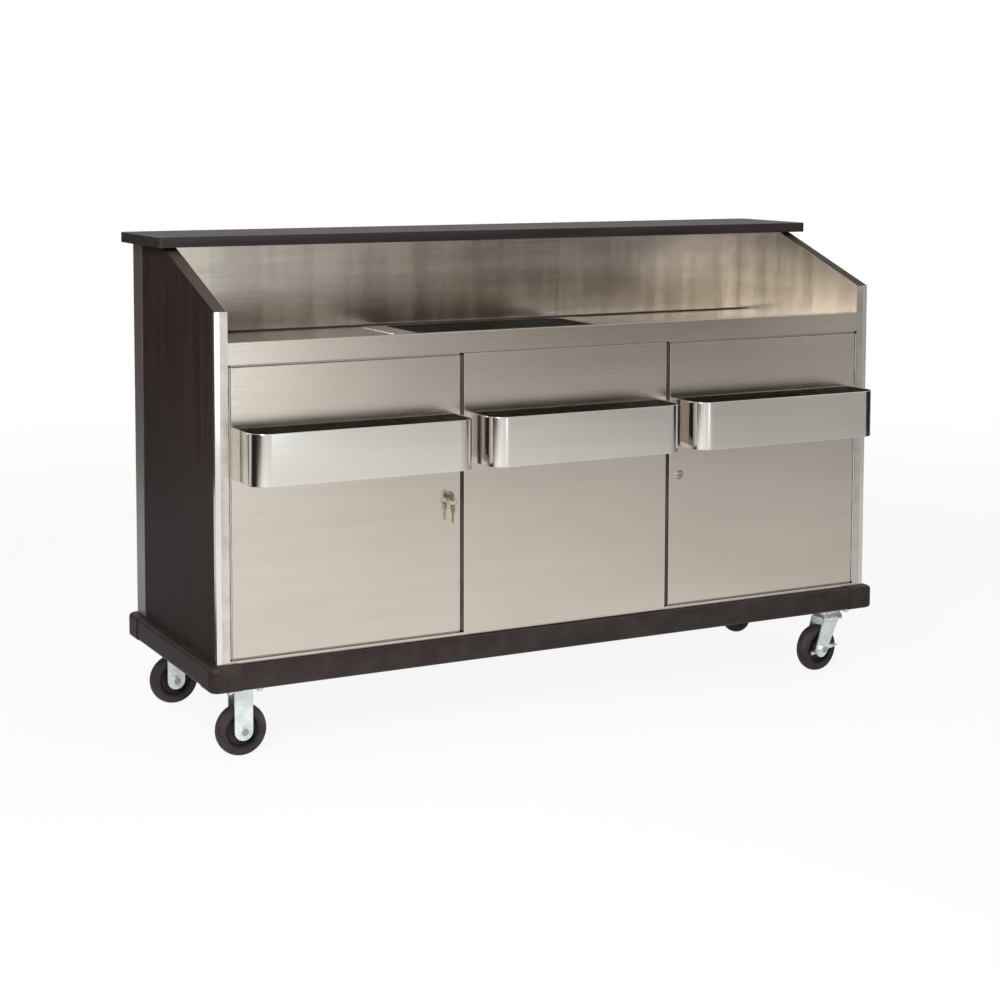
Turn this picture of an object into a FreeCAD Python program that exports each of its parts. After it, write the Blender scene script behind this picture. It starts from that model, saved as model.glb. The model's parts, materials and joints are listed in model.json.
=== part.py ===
"""Portable bar: a stainless back bar on casters, clad in dark laminate.

Modelled in millimetres with +X to the operator's right, +Y away from the operator
towards the guests and +Z up. The functions work with Y = 0 on the operator's face
and Z = 0 on the floor. The last step moves the whole bar so that the origin lies at
the bottom centre of its box.
"""
import FreeCAD
import Part
import math
import os

# Overall sizes
BODY_LENGTH = 1880.0
BODY_DEPTH = 604.0
BAR_TOP_HEIGHT = 1227.0
BAR_TOP_THICKNESS = 26.0
BAR_TOP_DEPTH = 314.0
BAR_TOP_GUEST_OVERHANG = 32.0
BAR_TOP_END_OVERHANG = 26.0
BAR_TOP_CORNER_RADIUS = 10.0
BAR_TOP_EDGE_RADIUS = 2.0
DECK_DROP = 266.0

# Base frame, floor and bumper
BASE_HEIGHT = 65.0
CHANNEL_WIDTH = 50.0
CHANNEL_WALL = 3.0
CROSS_MEMBER_WIDTH = 40.0
CORNER_PLATE_LENGTH = 150.0
CORNER_PLATE_DEPTH = 112.0
BUMPER_THICKNESS = 22.0
BUMPER_HEIGHT = 58.0
BUMPER_LIFT = 5.0
BUMPER_ROUND = 9.0
BUMPER_CORNER_PROUD = 2.0
BUMPER_CORNER_LEG = 55.0

# Walls
END_PANEL_THICKNESS = 30.5
GUEST_PANEL_THICKNESS = 16.0
BACK_LINER_DEPTH = 18.0
END_FRONT_DROP = 158.0
SLANT_UNDER_TOP = 49.0
SHEET = 1.5
SHEET_BEND = 1.2
EDGE_CAP_LEG = 12.0
CORNER_GUARD_LEG = 65.0
CORNER_GUARD_SHEET = 2.0
PARTITION_OFFSET = 17.0
PARTITION_THICKNESS = 12.0
PARTITION_SETBACK = 30.0

# Operator's face
FASCIA_RISE = 35.0
FASCIA_HEIGHT = 52.0
FASCIA_DEPTH = 20.0
BOTTOM_RAIL_HEIGHT = 8.0
BOTTOM_RAIL_DEPTH = 20.0
CENTRE_PANEL_HALF_WIDTH = 295.0
CENTRE_PANEL_DEPTH = 20.0
CENTRE_PANEL_TOP_GAP = 1.0

# Doors and piano hinges
DOOR_THICKNESS = 22.0
DOOR_TOP_GAP = 6.0
DOOR_BOTTOM_GAP = 5.0
DOOR_FREE_GAP = 10.0
DOOR_HINGE_GAP = 6.0
HINGE_PIN_DIAMETER = 2.4
HINGE_KNUCKLE_DIAMETER = 5.0
HINGE_KNUCKLE_COUNT = 15
HINGE_KNUCKLE_GAP = 0.4
HINGE_LEAF = 1.2
HINGE_AXIS_Y = -0.5
HINGE_BORE_CLEARANCE = 0.05
FIT_GAP = 0.3

# Locks and keys
LOCK_EDGE_DISTANCE = 32.0
LOCK_BELOW_RAIL = 81.0
LOCK_BARREL_DIAMETER = 18.0
LOCK_FLANGE_DIAMETER = 25.0
LOCK_FLANGE_PROUD = 4.0
LOCK_PLUG_DIAMETER = 13.0
LOCK_PLUG_CLEARANCE = 0.05
LOCK_CAM_LENGTH = 50.0
LOCK_CAM_WIDTH = 16.0
LOCK_CAM_THICKNESS = 2.5
LOCK_CAM_OFFSET = 2.0
KEY_THICKNESS = 2.0
KEY_BOW_DIAMETER = 22.0
KEY_BLADE_WIDTH = 7.0
KEY_BLADE_LENGTH = 24.0
KEY_NECK_LENGTH = 5.0
KEY_HOLE_DIAMETER = 8.0
KEY_RING_DIAMETER = 20.0
KEY_RING_WIRE = 1.6

# Speed rails
RAIL_HEIGHT = 123.0
RAIL_DROP = 266.0
RAIL_DEPTH = 119.0
DOOR_RAIL_MARGIN = 23.0
CENTRE_RAIL_MARGIN = 38.0
RAIL_CORNER_RADIUS = 45.0
RAIL_SHEET = 1.5
RAIL_HEM_HEIGHT = 9.0
RAIL_HEM_SHEET = 3.0

# Ice bin and drain
BIN_SIDE_GAP = 27.0
BIN_FRONT = 60.0
BIN_BACK_GAP = 30.0
BIN_DEPTH = 280.0
BIN_CORNER_RADIUS = 25.0
BIN_RIM = 20.0
BIN_INSULATION_FLOOR = 35.0
DRAIN_DIAMETER = 28.0
DRAIN_WALL = 3.0
DRAIN_FLANGE_DIAMETER = 48.0
DRAIN_LENGTH = 70.0
VALVE_BALL_DIAMETER = 46.0
VALVE_LENGTH = 62.0
VALVE_STEM_DIAMETER = 8.0
VALVE_LEVER_LENGTH = 70.0
VALVE_LEVER_WIDTH = 12.0
VALVE_LEVER_THICKNESS = 3.0

# Shelves
SHELF_DROP = 395.0
SHELF_FRONT = 60.0
SHELF_LIP = 18.0
SHELF_SIDE_GAP = 2.0
SHELF_CLIP_WIDTH = 20.0
SHELF_CLIP_REACH = 12.0
SHELF_CLIP_SHEET = 2.0

# Casters
WHEEL_DIAMETER = 127.0
WHEEL_WIDTH = 32.0
HUB_DIAMETER = 92.0
HUB_BOSS_DIAMETER = 30.0
HUB_WEB = 10.0
TYRE_CROWN = 5.0
AXLE_DIAMETER = 12.0
AXLE_CLEARANCE = 0.05
FORK_GAP = 40.0
FORK_SHEET = 4.0
FORK_LEG_WIDTH = 46.0
CASTER_HEIGHT = 171.0
CASTER_PLATE_LENGTH = 100.0
CASTER_PLATE_WIDTH = 86.0
CASTER_PLATE = 4.0
CASTER_TRAIL = 45.0
CASTER_INSET_X = 75.0
CASTER_FRONT_Y = 52.0
CASTER_REAR_INSET = 54.0
CROWN_DROP = 23.0
CROWN_THICKNESS = 5.0
CROWN_DIAMETER = 80.0
RACE_GAP = 0.3
FRONT_SWIVEL_TURN = 9.0
REAR_SWIVEL_TURN = 90.0
BRAKE_HALF_LENGTH = 44.0
BRAKE_WIDTH = 20.0
BRAKE_SHEET = 3.0
BRAKE_TAB = 14.0
BRAKE_TILT = 8.0

# Places worked out from the sizes above
HALF = BODY_LENGTH / 2
LINER_X = HALF - END_PANEL_THICKNESS
INSIDE_X = LINER_X - SHEET
BASE_BOTTOM = CASTER_HEIGHT
BASE_TOP = BASE_BOTTOM + BASE_HEIGHT
FLOOR_TOP = BASE_TOP + SHEET
BAR_TOP_BOTTOM = BAR_TOP_HEIGHT - BAR_TOP_THICKNESS
BAR_TOP_BACK_Y = BODY_DEPTH + BAR_TOP_GUEST_OVERHANG
BAR_TOP_FRONT_Y = BAR_TOP_BACK_Y - BAR_TOP_DEPTH
SLANT_DEPTH = BAR_TOP_FRONT_Y + SLANT_UNDER_TOP
END_FRONT_HEIGHT = BAR_TOP_HEIGHT - END_FRONT_DROP
DECK_HEIGHT = BAR_TOP_HEIGHT - DECK_DROP
BACK_LINER_Y = BODY_DEPTH - GUEST_PANEL_THICKNESS
SPLASH_Y = BACK_LINER_Y - BACK_LINER_DEPTH
PARTITION_OUTER_X = CENTRE_PANEL_HALF_WIDTH + PARTITION_OFFSET
PARTITION_INNER_X = PARTITION_OUTER_X - PARTITION_THICKNESS
DECK_BOTTOM = DECK_HEIGHT - SHEET
SHELF_HEIGHT = DECK_HEIGHT - SHELF_DROP
BIN_HALF_WIDTH = CENTRE_PANEL_HALF_WIDTH - BIN_SIDE_GAP
BIN_BACK = SPLASH_Y - BIN_BACK_GAP
FASCIA_TOP = DECK_HEIGHT + FASCIA_RISE
FASCIA_BOTTOM = FASCIA_TOP - FASCIA_HEIGHT
DOOR_OUTER_X = INSIDE_X - DOOR_HINGE_GAP
DOOR_INNER_X = CENTRE_PANEL_HALF_WIDTH + DOOR_FREE_GAP
DOOR_BOTTOM = BASE_TOP + BOTTOM_RAIL_HEIGHT + DOOR_BOTTOM_GAP
DOOR_TOP = FASCIA_BOTTOM - DOOR_TOP_GAP
RAIL_BOTTOM = DOOR_TOP - RAIL_DROP
DOOR_RAIL_LENGTH = DOOR_OUTER_X - DOOR_INNER_X - DOOR_RAIL_MARGIN
DOOR_RAIL_X = (DOOR_OUTER_X + DOOR_INNER_X) / 2
CENTRE_RAIL_LENGTH = 2 * CENTRE_PANEL_HALF_WIDTH - CENTRE_RAIL_MARGIN
HINGE_X = INSIDE_X - DOOR_HINGE_GAP / 2
LOCK_X = DOOR_INNER_X + LOCK_EDGE_DISTANCE
LOCK_HEIGHT = RAIL_BOTTOM - LOCK_BELOW_RAIL
CASTER_X = HALF - CASTER_INSET_X
CASTER_REAR_Y = BODY_DEPTH - CASTER_REAR_INSET
CROWN_TOP = CASTER_HEIGHT - CROWN_DROP
WHEEL_RADIUS = WHEEL_DIAMETER / 2
CENTRE_Y = (BAR_TOP_BACK_Y - RAIL_DEPTH) / 2

X_AXIS = FreeCAD.Vector(1, 0, 0)
Y_AXIS = FreeCAD.Vector(0, 1, 0)
Z_AXIS = FreeCAD.Vector(0, 0, 1)
ORIGIN = FreeCAD.Vector(0, 0, 0)


def point(x, y, z):
    return FreeCAD.Vector(x, y, z)


def box(x0, x1, y0, y1, z0, z1):
    """A block between two values on each axis."""
    return Part.makeBox(x1 - x0, y1 - y0, z1 - z0, point(x0, y0, z0))


def rod(diameter, start, end):
    """A round bar between two points."""
    along = end - start
    return Part.makeCylinder(diameter / 2, along.Length, start, along)


def rod_along_y(diameter, x, z, y0, y1):
    return rod(diameter, point(x, y0, z), point(x, y1, z))


def rod_along_z(diameter, x, y, z0, z1):
    return rod(diameter, point(x, y, z0), point(x, y, z1))


def fuse(first, *others):
    """One clean solid out of shapes that touch or overlap."""
    return first.fuse(list(others)).removeSplitter()


def mirrored(shape):
    """The same piece on the other end of the bar."""
    return shape.mirror(ORIGIN, X_AXIS)


def both_ends(shape):
    return [shape, mirrored(shape)]


def outline_face(points):
    """A flat face with straight edges through the points."""
    return Part.Face(Part.makePolygon(points + points[:1]))


def edges_on(shape, axis, value):
    """The edges that lie wholly in the plane axis = value."""
    found = []
    for edge in shape.Edges:
        places = [getattr(vertex.Point, axis) for vertex in edge.Vertexes]
        if all(abs(place - value) < 1e-6 for place in places):
            found.append(edge)
    return found


def edges_along(shape, direction):
    """The straight edges that run along a direction."""
    found = []
    for edge in shape.Edges:
        if edge.Curve.TypeId != "Part::GeomLine":
            continue
        if abs(abs(edge.tangentAt(edge.FirstParameter).dot(direction)) - 1) < 1e-6:
            found.append(edge)
    return found


def tray(x0, x1, y0, y1, z0, z1, closed, sheet=SHEET):
    """A folded sheet tray. closed names its face: one of -x, +x, -y, +y, -z, +z."""
    axis = "xyz".index(closed[1])
    lows = [x0, y0, z0]
    highs = [x1, y1, z1]
    outer = box(x0, x1, y0, y1, z0, z1)
    face_at = lows[axis] if closed[0] == "-" else highs[axis]
    outer = outer.makeFillet(SHEET_BEND, edges_on(outer, closed[1], face_at))
    inner_lows = [low + sheet for low in lows]
    inner_highs = [high - sheet for high in highs]
    if closed[0] == "-":
        inner_highs[axis] = highs[axis] + sheet
    else:
        inner_lows[axis] = lows[axis] - sheet
    inner = box(inner_lows[0], inner_highs[0], inner_lows[1], inner_highs[1],
                inner_lows[2], inner_highs[2])
    return outer.cut(inner)


def slant_height(y):
    """Height of the end panels' top edge above a place along the depth."""
    rise = (BAR_TOP_BOTTOM - END_FRONT_HEIGHT) / SLANT_DEPTH
    return END_FRONT_HEIGHT + rise * min(y, SLANT_DEPTH)


def end_outline(x, front, back, bottom):
    """Outline of an end wall in the plane at x."""
    return [
        point(x, front, bottom),
        point(x, back, bottom),
        point(x, back, BAR_TOP_BOTTOM),
        point(x, SLANT_DEPTH, BAR_TOP_BOTTOM),
        point(x, front, slant_height(front)),
    ]


def base_frame():
    """Welded channel ring with two cross members and a flush plate over each caster."""
    ring = box(-HALF, HALF, 0, BODY_DEPTH, BASE_BOTTOM, BASE_TOP)
    inside_x = HALF - CHANNEL_WIDTH
    hole = box(-inside_x, inside_x, CHANNEL_WIDTH, BODY_DEPTH - CHANNEL_WIDTH, BASE_BOTTOM, BASE_TOP)
    web_x = HALF - CHANNEL_WALL
    hollow = box(-web_x, web_x, CHANNEL_WALL, BODY_DEPTH - CHANNEL_WALL,
                 BASE_BOTTOM + CHANNEL_WALL, BASE_TOP - CHANNEL_WALL)
    pieces = [ring.cut(hole).cut(hollow)]
    plate_top = BASE_BOTTOM + CHANNEL_WALL
    plate_x = HALF - CORNER_PLATE_LENGTH
    for low_y, high_y in ((0, CORNER_PLATE_DEPTH), (BODY_DEPTH - CORNER_PLATE_DEPTH, BODY_DEPTH)):
        pieces += both_ends(box(plate_x, HALF, low_y, high_y, BASE_BOTTOM, plate_top))
    member_x = PARTITION_OUTER_X - PARTITION_THICKNESS / 2 - CROSS_MEMBER_WIDTH / 2
    member = tray(member_x, member_x + CROSS_MEMBER_WIDTH, CHANNEL_WALL, BODY_DEPTH - CHANNEL_WALL,
                  BASE_BOTTOM + CHANNEL_WALL, BASE_TOP - CHANNEL_WALL, "+z", CHANNEL_WALL)
    pieces += both_ends(member)
    return fuse(*pieces)


def base_floor():
    return box(-INSIDE_X, INSIDE_X, BOTTOM_RAIL_DEPTH, SPLASH_Y, BASE_TOP, FLOOR_TOP)


def bumper_section(thickness, bottom, top):
    """Section of the bumper in the XZ plane: flat back at x = 0, rounded nose towards +X."""
    nose = thickness - BUMPER_ROUND
    ease = BUMPER_ROUND * (1 - math.sqrt(0.5))
    low_round = Part.Arc(point(nose, 0, bottom), point(thickness - ease, 0, bottom + ease),
                         point(thickness, 0, bottom + BUMPER_ROUND))
    high_round = Part.Arc(point(thickness, 0, top - BUMPER_ROUND), point(thickness - ease, 0, top - ease),
                          point(nose, 0, top))
    edges = [
        Part.makeLine(point(0, 0, bottom), point(nose, 0, bottom)),
        low_round.toShape(),
        Part.makeLine(point(thickness, 0, bottom + BUMPER_ROUND), point(thickness, 0, top - BUMPER_ROUND)),
        high_round.toShape(),
        Part.makeLine(point(nose, 0, top), point(0, 0, top)),
        Part.makeLine(point(0, 0, top), point(0, 0, bottom)),
    ]
    return Part.Face(Part.Wire(edges))


def bumper_strips():
    """Four straight lengths of bumper that end at the corner mouldings."""
    bottom = BASE_BOTTOM + BUMPER_LIFT
    section = bumper_section(BUMPER_THICKNESS, bottom, bottom + BUMPER_HEIGHT)
    end_length = BODY_DEPTH - 2 * BUMPER_CORNER_LEG
    side_length = BODY_LENGTH - 2 * BUMPER_CORNER_LEG
    end_strip = section.extrude(Y_AXIS * end_length)
    end_strip.translate(point(HALF, BUMPER_CORNER_LEG, 0))
    side_strip = section.extrude(Y_AXIS * side_length)
    front_strip = side_strip.copy()
    front_strip.rotate(ORIGIN, Z_AXIS, -90)
    front_strip.translate(point(-side_length / 2, 0, 0))
    guest_strip = side_strip.copy()
    guest_strip.rotate(ORIGIN, Z_AXIS, 90)
    guest_strip.translate(point(side_length / 2, BODY_DEPTH, 0))
    return both_ends(end_strip) + [front_strip, guest_strip]


def bumper_corners():
    """Moulded corner pieces: two legs joined by a quarter turn, a little proud of the strips."""
    bottom = BASE_BOTTOM + BUMPER_LIFT - BUMPER_CORNER_PROUD / 2
    top = bottom + BUMPER_HEIGHT + BUMPER_CORNER_PROUD
    section = bumper_section(BUMPER_THICKNESS + BUMPER_CORNER_PROUD, bottom, top)
    leg = section.extrude(Y_AXIS * BUMPER_CORNER_LEG)
    turn = section.revolve(ORIGIN, Z_AXIS, -90)
    other_leg = leg.copy()
    other_leg.rotate(ORIGIN, Z_AXIS, -90)
    other_leg.translate(point(-BUMPER_CORNER_LEG, 0, 0))
    corner = fuse(leg, turn, other_leg)
    corner.translate(point(HALF, 0, 0))
    rear = corner.mirror(point(0, BODY_DEPTH / 2, 0), Y_AXIS)
    return both_ends(corner) + both_ends(rear)


def end_panel():
    face = outline_face(end_outline(LINER_X, SHEET, BODY_DEPTH, BASE_TOP))
    return face.extrude(X_AXIS * END_PANEL_THICKNESS)


def end_liner():
    """Stainless sheet inside an end panel, folded over the panel's front edge as a stile."""
    sheet = outline_face(end_outline(INSIDE_X, 0, SPLASH_Y, BASE_TOP)).extrude(X_AXIS * SHEET)
    stile = box(INSIDE_X, HALF - EDGE_CAP_LEG, 0, SHEET, BASE_TOP, END_FRONT_HEIGHT)
    return fuse(sheet, stile)


def edge_cap():
    """Bright angle over the front corner of an end panel."""
    web = box(HALF - EDGE_CAP_LEG, HALF + SHEET, 0, SHEET, BASE_TOP, END_FRONT_HEIGHT)
    leg = box(HALF, HALF + SHEET, 0, EDGE_CAP_LEG, BASE_TOP, END_FRONT_HEIGHT)
    cap = fuse(web, leg)
    front_edges = [edge for edge in edges_along(cap, Z_AXIS)
                   if edge.CenterOfMass.y < 1e-6 and edge.CenterOfMass.x > HALF]
    return cap.makeFillet(SHEET_BEND, front_edges)


def corner_guard():
    """Grey metal angle that covers the rear corner of the laminate."""
    x0 = HALF - CORNER_GUARD_LEG
    y0 = BODY_DEPTH - CORNER_GUARD_LEG
    outer = box(x0, HALF + CORNER_GUARD_SHEET, y0, BODY_DEPTH + CORNER_GUARD_SHEET, BASE_TOP, BAR_TOP_BOTTOM)
    corner = [edge for edge in edges_along(outer, Z_AXIS)
              if edge.CenterOfMass.x > HALF and edge.CenterOfMass.y > BODY_DEPTH]
    outer = outer.makeFillet(CORNER_GUARD_SHEET, corner)
    return outer.cut(box(x0, HALF, y0, BODY_DEPTH, BASE_TOP, BAR_TOP_BOTTOM))


def guest_panel():
    return box(-LINER_X, LINER_X, BACK_LINER_Y, BODY_DEPTH, BASE_TOP, BAR_TOP_BOTTOM)


def back_splash():
    return tray(-LINER_X, LINER_X, SPLASH_Y, BACK_LINER_Y, DECK_BOTTOM, BAR_TOP_BOTTOM, "-y")


def cabinet_back():
    return tray(-LINER_X, LINER_X, SPLASH_Y, BACK_LINER_Y, BASE_TOP, DECK_BOTTOM, "-y")


def bar_top():
    half = HALF + BAR_TOP_END_OVERHANG
    slab = box(-half, half, BAR_TOP_FRONT_Y, BAR_TOP_BACK_Y, BAR_TOP_BOTTOM, BAR_TOP_HEIGHT)
    slab = slab.makeFillet(BAR_TOP_CORNER_RADIUS, edges_along(slab, Z_AXIS))
    return slab.makeFillet(BAR_TOP_EDGE_RADIUS, edges_on(slab, "z", BAR_TOP_HEIGHT))


def top_fascia():
    """Inverted channel along the operator's edge. Its rear leg stands on the decks."""
    channel = tray(-INSIDE_X, INSIDE_X, 0, FASCIA_DEPTH, FASCIA_BOTTOM, FASCIA_TOP, "+z")
    below_deck = box(-INSIDE_X, INSIDE_X, SHEET, FASCIA_DEPTH, FASCIA_BOTTOM, DECK_HEIGHT)
    return channel.cut(below_deck)


def bottom_rail():
    """Low sill under a door."""
    upright = box(CENTRE_PANEL_HALF_WIDTH, INSIDE_X, 0, SHEET, BASE_TOP, BASE_TOP + BOTTOM_RAIL_HEIGHT)
    foot = box(CENTRE_PANEL_HALF_WIDTH, INSIDE_X, 0, BOTTOM_RAIL_DEPTH, BASE_TOP, BASE_TOP + SHEET)
    return fuse(upright, foot)


def centre_panel():
    return tray(-CENTRE_PANEL_HALF_WIDTH, CENTRE_PANEL_HALF_WIDTH, 0, CENTRE_PANEL_DEPTH,
                BASE_TOP, FASCIA_BOTTOM - CENTRE_PANEL_TOP_GAP, "-y")


def partition():
    return tray(PARTITION_INNER_X, PARTITION_OUTER_X, PARTITION_SETBACK, SPLASH_Y,
                FLOOR_TOP, DECK_BOTTOM, "+x")


def worktop():
    """Deck over a cupboard, with a lip folded down against the fascia and the bin."""
    lip_bottom = DECK_HEIGHT - SHELF_LIP
    deck = box(PARTITION_INNER_X, INSIDE_X, FASCIA_DEPTH - SHEET, SPLASH_Y, DECK_BOTTOM, DECK_HEIGHT)
    lip = box(PARTITION_OUTER_X, INSIDE_X, FASCIA_DEPTH - SHEET, FASCIA_DEPTH, lip_bottom, DECK_HEIGHT)
    return fuse(deck, lip)


def shelf():
    return tray(PARTITION_OUTER_X + SHELF_SIDE_GAP, INSIDE_X - SHELF_SIDE_GAP,
                SHELF_FRONT, SPLASH_Y - SHELF_SIDE_GAP, SHELF_HEIGHT - SHELF_LIP, SHELF_HEIGHT, "+z")


def shelf_clips():
    """Four angle clips that carry a shelf under its folded lip."""
    top = SHELF_HEIGHT - SHELF_LIP
    places = (SHELF_FRONT + SHELF_CLIP_WIDTH, SPLASH_Y - 3 * SHELF_CLIP_WIDTH)
    clips = []
    for y in places:
        upright = box(0, SHELF_CLIP_SHEET, y, y + SHELF_CLIP_WIDTH, top - SHELF_CLIP_REACH, top)
        ledge = box(0, SHELF_CLIP_REACH, y, y + SHELF_CLIP_WIDTH, top - SHELF_CLIP_SHEET, top)
        clip = fuse(upright, ledge)
        on_wall = mirrored(clip)
        clip.translate(point(PARTITION_OUTER_X, 0, 0))
        on_wall.translate(point(INSIDE_X, 0, 0))
        clips += [clip, on_wall]
    return clips


def door_skin():
    """Outer face of a door: a tray whose folds reach back over the liner, bored for the lock."""
    skin = tray(DOOR_INNER_X, DOOR_OUTER_X, 0, DOOR_THICKNESS, DOOR_BOTTOM, DOOR_TOP, "-y")
    return skin.cut(lock_hole())


def door_liner():
    """Back of a door: a tray nested in the skin and touching it all round."""
    liner = tray(DOOR_INNER_X + SHEET, DOOR_OUTER_X - SHEET, SHEET, DOOR_THICKNESS,
                 DOOR_BOTTOM + SHEET, DOOR_TOP - SHEET, "+y")
    return liner.cut(lock_hole())


def lock_hole():
    return rod_along_y(LOCK_BARREL_DIAMETER, LOCK_X, LOCK_HEIGHT, -LOCK_FLANGE_PROUD, 2 * DOOR_THICKNESS)


def hinge_segments(own):
    """Height ranges of the knuckles: own = 0 for the frame's leaf, 1 for the door's leaf."""
    pitch = (DOOR_TOP - DOOR_BOTTOM) / HINGE_KNUCKLE_COUNT
    ranges = []
    for index in range(own, HINGE_KNUCKLE_COUNT, 2):
        low = DOOR_BOTTOM + index * pitch + HINGE_KNUCKLE_GAP / 2
        ranges.append((low, low + pitch - HINGE_KNUCKLE_GAP))
    return ranges


def hinge_leaf(own):
    """One leaf of the piano hinge with the knuckles that it carries."""
    knuckle_radius = HINGE_KNUCKLE_DIAMETER / 2
    if own == 0:
        plate_x = INSIDE_X - HINGE_LEAF
    else:
        plate_x = DOOR_OUTER_X
    clear_y = HINGE_AXIS_Y + knuckle_radius + HINGE_KNUCKLE_GAP
    pieces = [box(plate_x, plate_x + HINGE_LEAF, clear_y, DOOR_THICKNESS, DOOR_BOTTOM, DOOR_TOP)]
    for low, high in hinge_segments(own):
        pieces.append(box(plate_x, plate_x + HINGE_LEAF, HINGE_AXIS_Y, clear_y, low, high))
        pieces.append(rod_along_z(HINGE_KNUCKLE_DIAMETER, HINGE_X, HINGE_AXIS_Y, low, high))
    bore_diameter = HINGE_PIN_DIAMETER + 2 * HINGE_BORE_CLEARANCE
    bore = rod_along_z(bore_diameter, HINGE_X, HINGE_AXIS_Y, DOOR_BOTTOM, DOOR_TOP)
    return fuse(*pieces).cut(bore)


def hinge_pin():
    return rod_along_z(HINGE_PIN_DIAMETER, HINGE_X, HINGE_AXIS_Y, DOOR_BOTTOM, DOOR_TOP)


def speed_rail(centre_x, length):
    """Bottle trough: folded sheet with rounded front corners and a thick hem round its mouth."""

    def block(inset, bottom, top):
        half = length / 2 - inset
        solid = box(centre_x - half, centre_x + half, -RAIL_DEPTH + inset, -inset, bottom, top)
        corners = [edge for edge in edges_along(solid, Z_AXIS) if edge.CenterOfMass.y < -RAIL_DEPTH / 2]
        return solid.makeFillet(RAIL_CORNER_RADIUS - inset, corners)

    top = RAIL_BOTTOM + RAIL_HEIGHT
    outer = block(0, RAIL_BOTTOM, top)
    outer = outer.makeFillet(SHEET_BEND, edges_on(outer, "z", RAIL_BOTTOM))
    trough = block(RAIL_SHEET, RAIL_BOTTOM + RAIL_SHEET, top - RAIL_HEM_HEIGHT)
    mouth = block(RAIL_HEM_SHEET, top - RAIL_HEM_HEIGHT, top)
    rail = outer.cut(trough).cut(mouth)
    rim = [edge for edge in edges_on(rail, "z", top) if edge.CenterOfMass.y < -RAIL_HEM_SHEET]
    return rail.makeFillet(SHEET_BEND, rim)


def lock_housing():
    """Barrel of the cam lock with its domed collar on the door face."""
    back = DOOR_THICKNESS + LOCK_CAM_OFFSET
    radius = LOCK_BARREL_DIAMETER / 2 - LOCK_PLUG_CLEARANCE
    barrel = rod_along_y(2 * radius, LOCK_X, LOCK_HEIGHT, 0, back)
    collar = Part.makeCone(LOCK_FLANGE_DIAMETER / 2, LOCK_BARREL_DIAMETER / 2, LOCK_FLANGE_PROUD,
                           point(LOCK_X, 0, LOCK_HEIGHT), -Y_AXIS)
    bore_diameter = LOCK_PLUG_DIAMETER + 2 * LOCK_PLUG_CLEARANCE
    return fuse(barrel, collar).cut(rod_along_y(bore_diameter, LOCK_X, LOCK_HEIGHT, -LOCK_FLANGE_PROUD, back))


def lock_plug():
    """Turning plug with its keyway. It reaches back to carry the cam."""
    back = DOOR_THICKNESS + LOCK_CAM_OFFSET + FIT_GAP
    plug = rod_along_y(LOCK_PLUG_DIAMETER, LOCK_X, LOCK_HEIGHT, -LOCK_FLANGE_PROUD, back)
    half_slot = KEY_THICKNESS / 2 + LOCK_PLUG_CLEARANCE
    half_width = KEY_BLADE_WIDTH / 2 + LOCK_PLUG_CLEARANCE
    keyway = box(LOCK_X - half_slot, LOCK_X + half_slot,
                 -LOCK_FLANGE_PROUD, KEY_BLADE_LENGTH - LOCK_FLANGE_PROUD,
                 LOCK_HEIGHT - half_width, LOCK_HEIGHT + half_width)
    return plug.cut(keyway)


def lock_cam():
    """Latch arm behind the door. It hangs down while the door is free to open."""
    front = DOOR_THICKNESS + LOCK_CAM_OFFSET + FIT_GAP
    back = front + LOCK_CAM_THICKNESS
    half = LOCK_CAM_WIDTH / 2
    hub = rod_along_y(LOCK_CAM_WIDTH, LOCK_X, LOCK_HEIGHT, front, back)
    arm = box(LOCK_X - half, LOCK_X + half, front, back, LOCK_HEIGHT - LOCK_CAM_LENGTH, LOCK_HEIGHT)
    tip = [edge for edge in edges_along(arm, Y_AXIS) if edge.CenterOfMass.z < LOCK_HEIGHT - half]
    return fuse(hub, arm.makeFillet(half / 2, tip))


def key(face_y):
    """Flat key pointing along +Y with the shoulder of its bow at face_y, lying in the YZ plane."""
    half = KEY_THICKNESS / 2
    bow_y = face_y - KEY_NECK_LENGTH - KEY_BOW_DIAMETER / 2
    tip_y = face_y + KEY_BLADE_LENGTH - KEY_NECK_LENGTH
    blade = box(-half, half, bow_y, tip_y, -KEY_BLADE_WIDTH / 2, KEY_BLADE_WIDTH / 2)
    bow = rod(KEY_BOW_DIAMETER, point(-half, bow_y, 0), point(half, bow_y, 0))
    hole_y = bow_y - KEY_BOW_DIAMETER / 2 + KEY_HOLE_DIAMETER
    hole = rod(KEY_HOLE_DIAMETER, point(-half, hole_y, 0), point(half, hole_y, 0))
    return fuse(blade, bow).cut(hole)


def door_key():
    """Key standing in the left lock."""
    shape = key(-LOCK_FLANGE_PROUD)
    shape.translate(point(-LOCK_X, 0, LOCK_HEIGHT))
    return shape


def spare_key():
    """Ring through the bow of the door key, with the second key hanging from it."""
    bow_front = -LOCK_FLANGE_PROUD - KEY_NECK_LENGTH - KEY_BOW_DIAMETER
    hole_y = bow_front + KEY_HOLE_DIAMETER
    drop = KEY_HOLE_DIAMETER / 2 - KEY_RING_WIRE / 2 - FIT_GAP
    ring_centre = point(-LOCK_X, hole_y, LOCK_HEIGHT - drop - KEY_RING_DIAMETER / 2)
    ring = Part.makeTorus(KEY_RING_DIAMETER / 2, KEY_RING_WIRE / 2, ring_centre, Y_AXIS)
    hanging = key(0)
    hanging.rotate(ORIGIN, X_AXIS, -90)
    hole_below_tip = KEY_NECK_LENGTH + KEY_BOW_DIAMETER - KEY_HOLE_DIAMETER
    hanging.translate(point(-LOCK_X, hole_y, ring_centre.z - KEY_RING_DIAMETER / 2 - drop - hole_below_tip))
    return [ring, hanging]


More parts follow.
